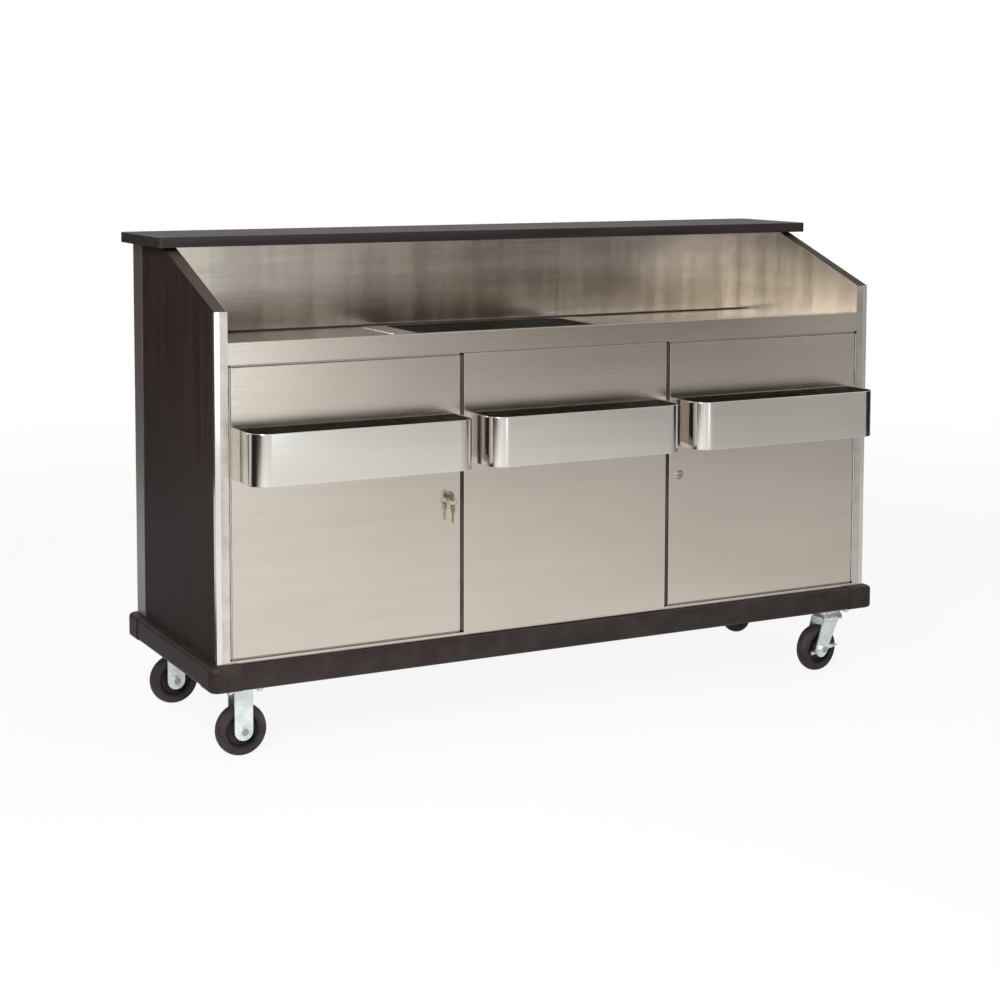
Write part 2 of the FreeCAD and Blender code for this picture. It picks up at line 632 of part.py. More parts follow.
def bin_body(grow, top):
    """Solid of the ice bin's inside, made larger all round by grow."""
    bottom = DECK_HEIGHT - BIN_DEPTH - grow
    half = BIN_HALF_WIDTH + grow
    solid = box(-half, half, BIN_FRONT - grow, BIN_BACK + grow, bottom, top)
    solid = solid.makeFillet(BIN_CORNER_RADIUS + grow, edges_along(solid, Z_AXIS))
    return solid.makeFillet(BIN_CORNER_RADIUS / 2 + grow, edges_on(solid, "z", bottom))


def drain_axis(low, high):
    middle_y = (BIN_FRONT + BIN_BACK) / 2
    return point(0, middle_y, high), point(0, middle_y, low)


def bin_walls(shell, low, high):
    """The four sides of the bin's shell between two heights, parted along its corner diagonals."""
    reach = PARTITION_OUTER_X + BIN_RIM
    near_x = BIN_HALF_WIDTH - BIN_CORNER_RADIUS
    near_front = BIN_FRONT + BIN_CORNER_RADIUS
    near_back = BIN_BACK - BIN_CORNER_RADIUS
    far_x = near_x + reach
    near = [(-near_x, near_front), (near_x, near_front), (near_x, near_back), (-near_x, near_back)]
    far = [(-far_x, near_front - reach), (far_x, near_front - reach),
           (far_x, near_back + reach), (-far_x, near_back + reach)]
    walls = []
    for this, following in ((0, 1), (1, 2), (2, 3), (3, 0)):
        outline = [near[this], near[following], far[following], far[this]]
        wedge = outline_face([point(x, y, low) for x, y in outline]).extrude(Z_AXIS * (high - low))
        walls += shell.common(wedge).Solids
    return walls


def ice_bin():
    """Bin welded from a drawn floor pan, four round-ended walls and a mitred rim that rests on the decks."""
    rim_top = DECK_HEIGHT + SHEET
    rim_x = PARTITION_OUTER_X + BIN_RIM
    rim = box(-rim_x, rim_x, FASCIA_DEPTH + FIT_GAP, SPLASH_Y - FIT_GAP, DECK_HEIGHT, rim_top)
    shell = fuse(bin_body(SHEET, DECK_HEIGHT), rim).cut(bin_body(0, rim_top))
    floor = DECK_HEIGHT - BIN_DEPTH
    shell = shell.cut(rod(DRAIN_DIAMETER + 2 * FIT_GAP, *drain_axis(floor - SHEET, floor + SHEET)))
    pan_top = floor + BIN_CORNER_RADIUS / 2
    pan = shell.common(box(-rim_x, rim_x, FASCIA_DEPTH, SPLASH_Y, floor - SHEET, pan_top))
    return pan.Solids + bin_walls(shell, pan_top, DECK_HEIGHT) + bin_walls(shell, DECK_HEIGHT, rim_top)


def bin_insulation():
    """Foam jacket round the bin, between the two partitions."""
    bottom = DECK_HEIGHT - BIN_DEPTH - BIN_INSULATION_FLOOR
    half = PARTITION_INNER_X - FIT_GAP
    foam = box(-half, half, PARTITION_SETBACK, SPLASH_Y - FIT_GAP, bottom, DECK_BOTTOM)
    foam = foam.cut(bin_body(SHEET + FIT_GAP, DECK_HEIGHT))
    return foam.cut(rod(DRAIN_DIAMETER + 2 * FIT_GAP, *drain_axis(bottom, DECK_HEIGHT)))


def drain_fitting():
    """Flanged outlet in the floor of the bin."""
    floor = DECK_HEIGHT - BIN_DEPTH
    tail = rod(DRAIN_DIAMETER, *drain_axis(floor - DRAIN_LENGTH, floor))
    flange = rod(DRAIN_FLANGE_DIAMETER, *drain_axis(floor, floor + DRAIN_WALL))
    bore = rod(DRAIN_DIAMETER - 2 * DRAIN_WALL, *drain_axis(floor - DRAIN_LENGTH, floor + DRAIN_WALL))
    return fuse(tail, flange).cut(bore)


def valve_height():
    return DECK_HEIGHT - BIN_DEPTH - DRAIN_LENGTH - VALVE_LENGTH / 2


def drain_valve():
    """Ball valve under the drain: round body, pipe ends and a stem towards the operator."""
    middle = valve_height()
    middle_y = (BIN_FRONT + BIN_BACK) / 2
    low = middle - VALVE_LENGTH / 2
    high = middle + VALVE_LENGTH / 2
    ball = Part.makeSphere(VALVE_BALL_DIAMETER / 2, point(0, middle_y, middle))
    collar = rod(DRAIN_DIAMETER + 2 * DRAIN_WALL, *drain_axis(low, high))
    stem_tip = middle_y - VALVE_BALL_DIAMETER / 2 - 3 * VALVE_LEVER_THICKNESS
    stem = rod_along_y(VALVE_STEM_DIAMETER, 0, middle, middle_y, stem_tip)
    bore = rod(DRAIN_DIAMETER - 2 * DRAIN_WALL, *drain_axis(low, high))
    return fuse(ball, collar, stem).cut(bore)


def drain_lever():
    """Flat handle on the valve stem. It points down while the valve is open."""
    middle = valve_height()
    back = (BIN_FRONT + BIN_BACK) / 2 - VALVE_BALL_DIAMETER / 2 - VALVE_LEVER_THICKNESS / 2
    front = back - VALVE_LEVER_THICKNESS
    half = VALVE_LEVER_WIDTH / 2
    hub = rod_along_y(2 * VALVE_STEM_DIAMETER, 0, middle, front, back)
    arm = box(-half, half, front, back, middle - VALVE_LEVER_LENGTH, middle)
    tip = [edge for edge in edges_along(arm, Y_AXIS) if edge.CenterOfMass.z < middle - half]
    bore = rod_along_y(VALVE_STEM_DIAMETER + 2 * AXLE_CLEARANCE, 0, middle, front, back)
    return fuse(hub, arm.makeFillet(half / 2, tip)).cut(bore)


def turned(profile):
    """A solid of revolution about the Y axis from (radius, y) points."""
    face = outline_face([point(radius, y, 0) for radius, y in profile])
    return face.revolve(ORIGIN, Y_AXIS, 360)


def caster_tyre():
    """Rubber tread with a rounded crown, centred on the origin."""
    half = WHEEL_WIDTH / 2
    inner = HUB_DIAMETER / 2 + AXLE_CLEARANCE
    shoulder = WHEEL_RADIUS - TYRE_CROWN
    crown = Part.Arc(point(shoulder, half, 0), point(WHEEL_RADIUS, 0, 0), point(shoulder, -half, 0))
    edges = [
        Part.makeLine(point(inner, -half, 0), point(inner, half, 0)),
        Part.makeLine(point(inner, half, 0), point(shoulder, half, 0)),
        crown.toShape(),
        Part.makeLine(point(shoulder, -half, 0), point(inner, -half, 0)),
    ]
    return Part.Face(Part.Wire(edges)).revolve(ORIGIN, Y_AXIS, 360)


def caster_hub():
    """Wheel centre: a rim and a boss joined by a thin web."""
    rim = HUB_DIAMETER / 2
    rim_wall = rim - HUB_WEB / 2
    boss = HUB_BOSS_DIAMETER / 2
    bore = AXLE_DIAMETER / 2 + AXLE_CLEARANCE
    half = WHEEL_WIDTH / 2
    boss_half = FORK_GAP / 2 - RACE_GAP
    web = HUB_WEB / 2
    return turned([
        (bore, -boss_half), (boss, -boss_half), (boss + web, -web), (rim_wall - web, -web),
        (rim_wall, -half), (rim, -half), (rim, half), (rim_wall, half),
        (rim_wall - web, web), (boss + web, web), (boss, boss_half), (bore, boss_half),
    ])


def caster_axle(brake_room):
    """Axle bolt with a hex head and nut outside the fork legs."""
    leg = FORK_GAP / 2 + FORK_SHEET
    near = -leg - brake_room
    head = 2 * FORK_SHEET
    shaft = rod_along_y(AXLE_DIAMETER, 0, 0, near - head, leg + head)
    corners = []
    for index in range(6):
        angle = index * math.pi / 3
        corners.append(point(AXLE_DIAMETER * math.cos(angle), 0, AXLE_DIAMETER * math.sin(angle)))
    nut = outline_face(corners).extrude(Y_AXIS * head)
    bolt_head = nut.copy()
    nut.translate(point(0, leg, 0))
    bolt_head.translate(point(0, near - head, 0))
    return fuse(shaft, nut, bolt_head)


def caster_plate():
    half_length = CASTER_PLATE_LENGTH / 2
    half_width = CASTER_PLATE_WIDTH / 2
    bottom = CASTER_HEIGHT - CASTER_PLATE
    plate = box(-half_length, half_length, -half_width, half_width, bottom, CASTER_HEIGHT)
    return plate.makeFillet(2 * CASTER_PLATE, edges_along(plate, Z_AXIS))


def axle_bore(shape, trail):
    reach = FORK_GAP / 2 + 2 * FORK_SHEET
    return shape.cut(rod_along_y(AXLE_DIAMETER + 2 * AXLE_CLEARANCE, -trail, WHEEL_RADIUS, -reach, reach))


def fork_leg(top, top_front, top_back, trail):
    """A fork leg: straight sides from its top edge down to a round end about the axle."""
    half = FORK_LEG_WIDTH / 2
    y = FORK_GAP / 2
    low = WHEEL_RADIUS
    foot = Part.Arc(point(-trail - half, y, low), point(-trail, y, low - half), point(-trail + half, y, low))
    edges = [
        Part.makeLine(point(top_back, y, top), point(-trail - half, y, low)),
        foot.toShape(),
        Part.makeLine(point(-trail + half, y, low), point(top_front, y, top)),
        Part.makeLine(point(top_front, y, top), point(top_back, y, top)),
    ]
    leg = Part.Face(Part.Wire(edges)).extrude(Y_AXIS * FORK_SHEET)
    return [leg, leg.mirror(ORIGIN, Y_AXIS)]


def rigid_bracket():
    """Fixed fork: a bridge under the plate with two straight legs."""
    half = FORK_LEG_WIDTH / 2
    top = CASTER_HEIGHT - CASTER_PLATE
    outside = FORK_GAP / 2 + FORK_SHEET
    bridge = box(-half, half, -outside, outside, top - FORK_SHEET, top)
    bracket = fuse(caster_plate(), bridge, *fork_leg(top, half, -half, 0))
    return axle_bore(bracket, 0)


def swivel_plate():
    """Top plate with the flared upper race of the swivel."""
    low = CROWN_TOP + RACE_GAP
    high = CASTER_HEIGHT - CASTER_PLATE
    wide = CROWN_DIAMETER / 2
    race = Part.makeCone(wide, wide - 2 * CROWN_THICKNESS, high - low, point(0, 0, low))
    hole = rod_along_z(AXLE_DIAMETER, 0, 0, low, CASTER_HEIGHT)
    return fuse(race, caster_plate()).cut(hole)


def kingpin():
    """Swivel bolt: pressed into the plate, with its head under the crown of the fork."""
    head_top = CROWN_TOP - CROWN_THICKNESS - RACE_GAP
    shaft = rod_along_z(AXLE_DIAMETER, 0, 0, head_top, CASTER_HEIGHT)
    head = rod_along_z(2 * AXLE_DIAMETER, 0, 0, head_top - CROWN_THICKNESS, head_top)
    return fuse(shaft, head)


def swivel_fork():
    """Turning fork: a round crown with two legs swept back to the axle."""
    half = FORK_LEG_WIDTH / 2
    crown_bottom = CROWN_TOP - CROWN_THICKNESS
    crown = rod_along_z(CROWN_DIAMETER, 0, 0, crown_bottom, CROWN_TOP)
    legs = fork_leg(CROWN_TOP, half, -half - CASTER_TRAIL / 3, CASTER_TRAIL)
    outside = FORK_GAP / 2 + FORK_SHEET
    bridge = box(-half - CASTER_TRAIL / 3, half, -outside, outside, crown_bottom, CROWN_TOP)
    fork = fuse(crown, bridge, *legs)
    hole = rod_along_z(AXLE_DIAMETER + 2 * AXLE_CLEARANCE, 0, 0, crown_bottom, CROWN_TOP)
    return axle_bore(fork.cut(hole), CASTER_TRAIL)


def brake_lever():
    """Side brake: a pressed bar on the axle with a foot tab turned out at each end."""
    inner = -FORK_GAP / 2 - FORK_SHEET - RACE_GAP
    outer = inner - BRAKE_SHEET
    half = BRAKE_WIDTH / 2
    hub = rod_along_y(FORK_LEG_WIDTH - 2 * FORK_SHEET, 0, 0, outer, inner)
    bar = box(-BRAKE_HALF_LENGTH, BRAKE_HALF_LENGTH, outer, inner, -half / 2, half / 2)
    tab = box(BRAKE_HALF_LENGTH - BRAKE_TAB, BRAKE_HALF_LENGTH, outer - BRAKE_TAB, inner,
              half / 2 - BRAKE_SHEET, half / 2)
    lever = fuse(hub, bar, tab, tab.mirror(ORIGIN, X_AXIS))
    lever = lever.cut(rod_along_y(AXLE_DIAMETER + 2 * AXLE_CLEARANCE, 0, 0, outer, inner))
    lever.rotate(ORIGIN, Y_AXIS, -BRAKE_TILT)
    return lever


def at_axle(shape, trail):
    shape.translate(point(-trail, 0, WHEEL_RADIUS))
    return shape


def at_stem(shape, x, y, turn):
    """Turn a caster piece about its stem and set it on its corner of the base."""
    shape.rotate(ORIGIN, Z_AXIS, turn)
    shape.translate(point(x, y, 0))
    return shape


def casters():
    """Two fixed casters on the left and two braked swivel casters on the right."""
    pieces = {"rigid_caster_forks": [], "swivel_caster_mounts": []}
    brake_room = BRAKE_SHEET + 2 * RACE_GAP
    corners = (("front", CASTER_FRONT_Y, FRONT_SWIVEL_TURN), ("rear", CASTER_REAR_Y, REAR_SWIVEL_TURN))
    for row, y, turn in corners:
        pieces["rigid_caster_forks"].append(at_stem(rigid_bracket(), -CASTER_X, y, 0))
        pieces["rigid_caster_forks"].append(at_stem(at_axle(caster_axle(0), 0), -CASTER_X, y, 0))
        pieces[row + "_left_hub"] = at_stem(at_axle(caster_hub(), 0), -CASTER_X, y, 0)
        pieces[row + "_left_tyre"] = at_stem(at_axle(caster_tyre(), 0), -CASTER_X, y, 0)
        pieces["swivel_caster_mounts"].append(at_stem(swivel_plate(), CASTER_X, y, 0))
        pieces["swivel_caster_mounts"].append(at_stem(kingpin(), CASTER_X, y, 0))
        pieces[row + "_swivel_fork"] = at_stem(swivel_fork(), CASTER_X, y, turn)
        axle = at_axle(caster_axle(brake_room), CASTER_TRAIL)
        pieces[row + "_swivel_axle"] = at_stem(axle, CASTER_X, y, turn)
        pieces[row + "_brake_lever"] = at_stem(at_axle(brake_lever(), CASTER_TRAIL), CASTER_X, y, turn)
        pieces[row + "_right_hub"] = at_stem(at_axle(caster_hub(), CASTER_TRAIL), CASTER_X, y, turn)
        pieces[row + "_right_tyre"] = at_stem(at_axle(caster_tyre(), CASTER_TRAIL), CASTER_X, y, turn)
    return pieces


def all_pieces():
    """Every node of the bar by name. A list is a node of several solids."""
    pieces = {
        "base_frame": base_frame(),
        "base_floor": base_floor(),
        "bumper_strips": bumper_strips(),
        "bumper_corners": bumper_corners(),
        "edge_caps": both_ends(edge_cap()),
        "corner_guards": both_ends(corner_guard()),
        "guest_panel": guest_panel(),
        "back_splash": back_splash(),
        "cabinet_back": cabinet_back(),
        "bar_top": bar_top(),
        "top_fascia": top_fascia(),
        "bottom_rails": both_ends(bottom_rail()),
        "centre_panel": centre_panel(),
        "centre_speed_rail": speed_rail(0, CENTRE_RAIL_LENGTH),
        "ice_bin": ice_bin(),
        "bin_insulation": bin_insulation(),
        "drain_fitting": drain_fitting(),
        "drain_valve": drain_valve(),
        "drain_lever": drain_lever(),
        "hinge_frame_sides": both_ends(hinge_leaf(0)) + both_ends(hinge_pin()),
        "partitions": both_ends(partition()),
        "shelves": both_ends(shelf()),
        "shelf_clips": shelf_clips() + [mirrored(clip) for clip in shelf_clips()],
        "door_keys": [door_key()] + spare_key(),
    }
    on_each_side = {
        "end_panel": end_panel(),
        "end_liner": end_liner(),
        "worktop": worktop(),
        "door_skin": door_skin(),
        "door_liner": door_liner(),
        "door_hinge_leaf": hinge_leaf(1),
        "speed_rail": speed_rail(DOOR_RAIL_X, DOOR_RAIL_LENGTH),
        "lock_housing": lock_housing(),
        "lock_plug": lock_plug(),
        "lock_cam": lock_cam(),
    }
    for name, shape in on_each_side.items():
        pieces["right_" + name] = shape
        pieces["left_" + name] = mirrored(shape)
    pieces.update(casters())
    return pieces


def main():
    os.makedirs("parts", exist_ok=True)
    for name, piece in all_pieces().items():
        shape = Part.makeCompound(piece) if isinstance(piece, list) else piece
        shape.translate(point(0, -CENTRE_Y, 0))
        shape.exportStep("parts/" + name + ".step")
        print(name, "solids", len(shape.Solids), "valid", shape.isValid(), "volume", round(shape.Volume))


main()
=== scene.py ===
# %% [markdown]
# # A portable bar
# This lesson dresses a finished construction model of a rolling bar: a stainless work side with
# speed rails, a dark laminate body, a rubber bumper and casters. The shapes come from the packed
# frame, so the lesson is mostly about finishes, small fasteners, light and the camera.

# %% Load the frame
import json
import math

import bmesh
import bpy
from mathutils import Matrix, Vector

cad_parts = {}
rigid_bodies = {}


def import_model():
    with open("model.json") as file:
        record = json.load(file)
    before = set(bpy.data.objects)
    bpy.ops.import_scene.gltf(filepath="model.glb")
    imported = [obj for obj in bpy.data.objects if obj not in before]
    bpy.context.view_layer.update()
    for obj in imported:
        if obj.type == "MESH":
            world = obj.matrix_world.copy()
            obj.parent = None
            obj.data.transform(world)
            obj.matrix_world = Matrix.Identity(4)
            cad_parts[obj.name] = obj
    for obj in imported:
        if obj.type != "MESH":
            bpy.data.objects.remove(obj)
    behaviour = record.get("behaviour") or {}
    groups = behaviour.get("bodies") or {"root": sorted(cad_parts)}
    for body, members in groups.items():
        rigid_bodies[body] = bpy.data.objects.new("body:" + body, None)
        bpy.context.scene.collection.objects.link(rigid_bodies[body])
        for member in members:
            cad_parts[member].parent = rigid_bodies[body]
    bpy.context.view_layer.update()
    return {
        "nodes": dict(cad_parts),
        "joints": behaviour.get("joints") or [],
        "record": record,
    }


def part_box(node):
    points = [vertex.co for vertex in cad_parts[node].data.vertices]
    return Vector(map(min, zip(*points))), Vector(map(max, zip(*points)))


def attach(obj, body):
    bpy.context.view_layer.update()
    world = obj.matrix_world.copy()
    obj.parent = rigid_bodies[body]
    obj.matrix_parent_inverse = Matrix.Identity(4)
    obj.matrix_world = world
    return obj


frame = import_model()
SLOT_OF = {row["node"]: row["material_slot"] for row in frame["record"]["subparts"]}
print("nodes", len(frame["nodes"]), "slots", len(set(SLOT_OF.values())))

# %% [markdown]
# ## Shader maths as Python
# Every finish here is a small formula: a noise, stretched along the grain, nudges the roughness or
# the colour. Wrapping a socket in a class with overloaded operators lets the formula be written as
# one, and each operator adds its Math node. Any other node goes through one method, `add`.


# %% A socket that can be used in expressions
class Wire:
    """One output socket of a node tree."""

    def __init__(self, tree, socket):
        self.tree = tree
        self.socket = socket

    def add(self, kind, settings=None, output=0, **inputs):
        """Add a node: its settings first, then the values or links of its sockets.

        A socket is given by its name, or as i0, i1 and so on by its number.
        """
        node = self.tree.nodes.new(kind)
        for name, value in (settings or {}).items():
            setattr(node, name, value)
        for name, value in inputs.items():
            numbered = name[0] == "i" and name[1:].isdigit()
            key = int(name[1:]) if numbered else name.replace("_", " ")
            self.plug(node.inputs[key], value)
        return Wire(self.tree, node.outputs[output])

    def plug(self, socket, value):
        """Link another wire to a socket, or set a plain value on it."""
        if isinstance(value, Wire):
            self.tree.links.new(value.socket, socket)
        else:
            socket.default_value = value

    def math(self, operation, first, second=0.0, clamp=False):
        settings = {"operation": operation, "use_clamp": clamp}
        return self.add("ShaderNodeMath", settings, i0=first, i1=second)

    def __add__(self, other):
        return self.math("ADD", self, other)

    def __radd__(self, other):
        return self.math("ADD", other, self)

    def __sub__(self, other):
        return self.math("SUBTRACT", self, other)

    def __rsub__(self, other):
        return self.math("SUBTRACT", other, self)

    def __mul__(self, other):
        return self.math("MULTIPLY", self, other)

    def __rmul__(self, other):
        return self.math("MULTIPLY", other, self)

    def clamped(self):
        return self.math("ADD", self, 0.0, clamp=True)

    def stretched(self, scale):
        return self.add("ShaderNodeMapping", Vector=self, Scale=scale)

    def noise(self, scale, detail=2.0, roughness=0.5):
        return self.add("ShaderNodeTexNoise", Vector=self, Scale=scale, Detail=detail,
                        Roughness=roughness)

    def between(self, low, high):
        """0 below low, 1 above high, smooth between."""
        settings = {"interpolation_type": "SMOOTHSTEP"}
        return self.add("ShaderNodeMapRange", settings, i0=self, i1=low, i2=high)

    def fading(self, low, high):
        """1 below low, 0 above high, smooth between."""
        return 1.0 - self.between(low, high)

    def part(self, axis):
        return self.add("ShaderNodeSeparateXYZ", output="XYZ".index(axis), Vector=self)

    def mix(self, first, second):
        """The first colour where this value is 0 and the second where it is 1."""
        settings = {"data_type": "RGBA"}
        return self.add("ShaderNodeMix", settings, output=2, i0=self, i6=first, i7=second)


print("wire", [name for name in vars(Wire) if not name.startswith("_")])

# %% [markdown]
# ## One material, one shader
# A finish is a material with a single principled shader. What stays the same all over is set on the
# shader's own sockets, because a node for it would only make the tree harder to read. What changes
# over the surface is a wire that starts at the object's own coordinates, so the grain stays on the
# sheet when a door swings.

# %% A finish
FINISHES = {}


def colour(shade, level=1.0):
    """A shade as a socket wants it, made lighter or darker by a level."""
    return (*[level * part for part in shade], 1.0)


class Finish:
    """A named material with one principled shader."""

    def __init__(self, name, **constants):
        self.material = FINISHES[name] = bpy.data.materials.new(name)
        self.material.use_nodes = True
        self.tree = self.material.node_tree
        self.shader = self.tree.nodes["Principled BSDF"]
        coordinates = self.tree.nodes.new("ShaderNodeTexCoord")
        self.place = Wire(self.tree, coordinates.outputs["Object"])
        for socket, value in constants.items():
            self.shader.inputs[socket.replace("_", " ")].default_value = value

    def set(self, socket, value):
        self.place.plug(self.shader.inputs[socket], value)

    def bump(self, height, distance, strength):
        self.set("Normal", self.place.add("ShaderNodeBump", Height=height, Distance=distance,
                                          Strength=strength))


def drawn_out(axis, across, along):
    """The scale of a noise that is drawn out along one axis, in waves per metre."""
    return [along if letter == axis else across for letter in "XYZ"]


print("a noise along the grain, for example", drawn_out("X", 900.0, 6.0))

# %% [markdown]
# ## Brushed stainless
# The sheets are stainless steel, brushed along their length. Up close that is thousands of hair-fine
# scratches; from a step away it is a soft reflection that smears across the grain. A noise squeezed
# along one axis gives the scratches, and it feeds a very shallow bump as well as the roughness.
# A second, broad noise adds the faint clouds that wiping always leaves on steel. On the splash and the
# end liners a third noise paints upright streaks into the colour, as painted reflections of the glints
# that run up the sheet, and varies the roughness along them.

# %% Brushed stainless sheet
HAIR = {"across": 900.0, "along": 6.0}
HAIR_GLOSS = 0.06
HAIR_DEPTH = 0.00014
HAIR_STRENGTH = 0.7
BAND = {"across": 24.0, "along": 1.6}
CLOUD_SIZE = 2.6
CLOUD_GLOSS = 0.05
REFLECTION_STREAK_SCALE = {"across": 15.0, "along": 1.1}
REFLECTION_STREAK_TONE = 0.9
REFLECTION_STREAK_GLOSS = 0.16
PLAIN_LEVELS = (0.965, 1.025)
REFLECTION_STREAK_LEVELS = (0.865, 1.115)
STEEL_CONTRAST = (0.35, 0.65)


def brushed_steel(name, base, grain, roughness, polish=1.0, painted_reflection_streaks=False):
    """Steel brushed along one axis. A polish below 1 makes the scratches fainter."""
    made = Finish(name, Metallic=1.0)
    hair = made.place.stretched(drawn_out(grain, **HAIR)).noise(1.0, detail=3.0, roughness=0.6)
    band = made.place.stretched(drawn_out(grain, **BAND)).noise(1.0)
    cloud = made.place.noise(CLOUD_SIZE, detail=3.0, roughness=0.55)
    tone = 0.5 * band + 0.5 * cloud
    gloss = polish * (HAIR_GLOSS * (hair - 0.5) + CLOUD_GLOSS * (cloud - 0.5))
    dark, light = PLAIN_LEVELS
    # painted reflection: upright streaks painted into the colour, standing for glints up the sheet; the
    # same noise varies the roughness
    if painted_reflection_streaks:
        upright = made.place.stretched(drawn_out("Z", **REFLECTION_STREAK_SCALE))
        reflection_streak = upright.noise(1.0, detail=4.0, roughness=0.58) - 0.5
        tone = tone + REFLECTION_STREAK_TONE * reflection_streak
        gloss = gloss + REFLECTION_STREAK_GLOSS * reflection_streak
        dark, light = REFLECTION_STREAK_LEVELS
    made.set("Roughness", roughness + gloss)
    made.set("Base Color", tone.between(*STEEL_CONTRAST).mix(colour(base, dark), colour(base, light)))
    made.bump(hair, HAIR_DEPTH * polish, HAIR_STRENGTH)


STEEL = (0.635, 0.582, 0.512)
brushed_steel("brushed_stainless", STEEL, "X", 0.20)
# the splash and the end liners get the upright streaks of painted reflection
brushed_steel("splash_steel", STEEL, "X", 0.20, painted_reflection_streaks=True)
brushed_steel("end_liner_steel", (0.62, 0.58, 0.53), "Y", 0.20, painted_reflection_streaks=True)
brushed_steel("polished_stainless", (0.77, 0.745, 0.70), "X", 0.11, polish=0.4)
brushed_steel("hinge_steel", (0.58, 0.56, 0.53), "Z", 0.28)
brushed_steel("grey_aluminium", (0.41, 0.37, 0.345), "Z", 0.40)
print("brushed metals", list(FINISHES))

# %% [markdown]
# ## Dark laminate
# The body is clad in a brown-black laminate with a satin face. Its colour isn't even: long, weak
# streaks run up the panel, with a fine pore texture that catches the light. The bar top has the same
# sheet in a blacker tone. Faces that look upwards, the slanted edges of the end panels among them, get
# a lighter colour painted in, as painted light from above. They are part of the same solid, so the
# direction that a face looks in tells them from the panel.

# %% Laminate faces
STREAK = {"across": 46.0, "along": 1.6}
STREAK_GLOSS = 0.10
PORE = {"across": 1500.0, "along": 120.0}
PORE_DEPTH = 0.00012
PORE_STRENGTH = 0.35
PATCH_SIZE = 3.2
LAMINATE_CONTRAST = (0.34, 0.66)
LOOKS_UP = (0.2, 0.5)


def laminate(name, dark, light, grain, roughness, shine, painted_top_light=None):
    """A laminate face. The last tone, when given, is painted light from above: a lighter colour painted
    on the faces that look upwards.
    """
    made = Finish(name, Specular_IOR_Level=shine)
    streak = made.place.stretched(drawn_out(grain, **STREAK)).noise(1.0, detail=5.0, roughness=0.62)
    pores = made.place.stretched(drawn_out(grain, **PORE)).noise(1.0)
    patch = made.place.noise(PATCH_SIZE)
    tone = (0.7 * streak + 0.3 * patch).between(*LAMINATE_CONTRAST)
    face = tone.mix(colour(dark), colour(light))
    # painted light: faces that look upwards get a lighter colour, as if lit from above
    if painted_top_light:
        tilt = made.place.add("ShaderNodeNewGeometry", output="Normal").part("Z")
        face = tilt.between(*LOOKS_UP).mix(face, colour(painted_top_light))
    made.set("Base Color", face)
    made.set("Roughness", roughness + STREAK_GLOSS * (streak - 0.5) + STREAK_GLOSS * (patch - 0.5))
    made.bump(pores, PORE_DEPTH, PORE_STRENGTH)


# the last tone is painted light from above, put on the dark laminate's faces that look upwards
laminate("dark_laminate", (0.0205, 0.013, 0.012), (0.036, 0.025, 0.023), "Z", 0.50, 0.09,
         painted_top_light=(0.064, 0.049, 0.037))
laminate("black_laminate", (0.019, 0.013, 0.013), (0.037, 0.028, 0.027), "X", 0.34, 0.24)
print("finishes with the laminates", len(FINISHES))

# %% [markdown]
# ## Rubber
# The bumper, the door seals and the tyres are moulded rubber. New rubber is nearly black and dull,
# with a fine skin from the mould; use leaves it greyer in patches. A fine noise is enough for the
# skin, and a coarse one mixes the new and the worn tone.

# %% Bumper, seal and tyre rubber
SKIN_SIZE = 900.0
SKIN_DEPTH = 0.0002
SKIN_STRENGTH = 0.4
RUB_SIZE = 14.0
RUB_GLOSS = 0.18
RUB_CONTRAST = (0.30, 0.85)
RUBBER_SHINE = 0.2


def rubber(name, new, worn, roughness):
    made = Finish(name, Specular_IOR_Level=RUBBER_SHINE)
    skin = made.place.noise(SKIN_SIZE)
    rub = made.place.noise(RUB_SIZE, detail=4.0, roughness=0.6)
    made.set("Base Color", rub.between(*RUB_CONTRAST).mix(colour(new), colour(worn)))
    made.set("Roughness", roughness + RUB_GLOSS * (rub - 0.5))
    made.bump(skin, SKIN_DEPTH, SKIN_STRENGTH)


rubber("bumper_rubber", (0.026, 0.018, 0.017), (0.046, 0.037, 0.035), 0.46)
rubber("seal_rubber", (0.060, 0.048, 0.044), (0.095, 0.080, 0.075), 0.50)
rubber("tyre_rubber", (0.030, 0.022, 0.020), (0.066, 0.054, 0.051), 0.52)
rubber("wheel_core", (0.020, 0.017, 0.016), (0.040, 0.036, 0.034), 0.42)
print("finishes with the rubbers", len(FINISHES))

# %% [markdown]
# ## Plated and painted metals
# Caster forks are zinc plated: a bright, slightly blue metal whose crystals show as soft cells of
# different gloss. Voronoi cells, softened by a noise, are the usual way to get them. The lock is
# bright chrome, the keys are worn nickel over brass, and the hidden frame is powder coated. A fine
# bump gives the coat the faint ripple of baked powder.

# %% Zinc, chrome and brass
ZINC_CELLS = 55.0
FINE_CELLS = 300.0
KEY_CELLS = 400.0
CELL_MIDDLE = 0.4
PLATE_CLOUD = 30.0
PLATE_SHADE = 0.82
PLATE_CONTRAST = (0.35, 0.65)


def plated(name, base, roughness, spread, cells=ZINC_CELLS, metallic=1.0):
    made = Finish(name, Metallic=metallic)
    cell = made.place.add("ShaderNodeTexVoronoi", {"feature": "SMOOTH_F1"}, Vector=made.place,
                          Scale=cells)
    cloud = made.place.noise(PLATE_CLOUD, detail=3.0)
    made.set("Roughness", roughness + spread * (cell - CELL_MIDDLE) + spread * (cloud - 0.5))
    tone = cloud.between(*PLATE_CONTRAST)
    made.set("Base Color", tone.mix(colour(base, PLATE_SHADE), colour(base)))


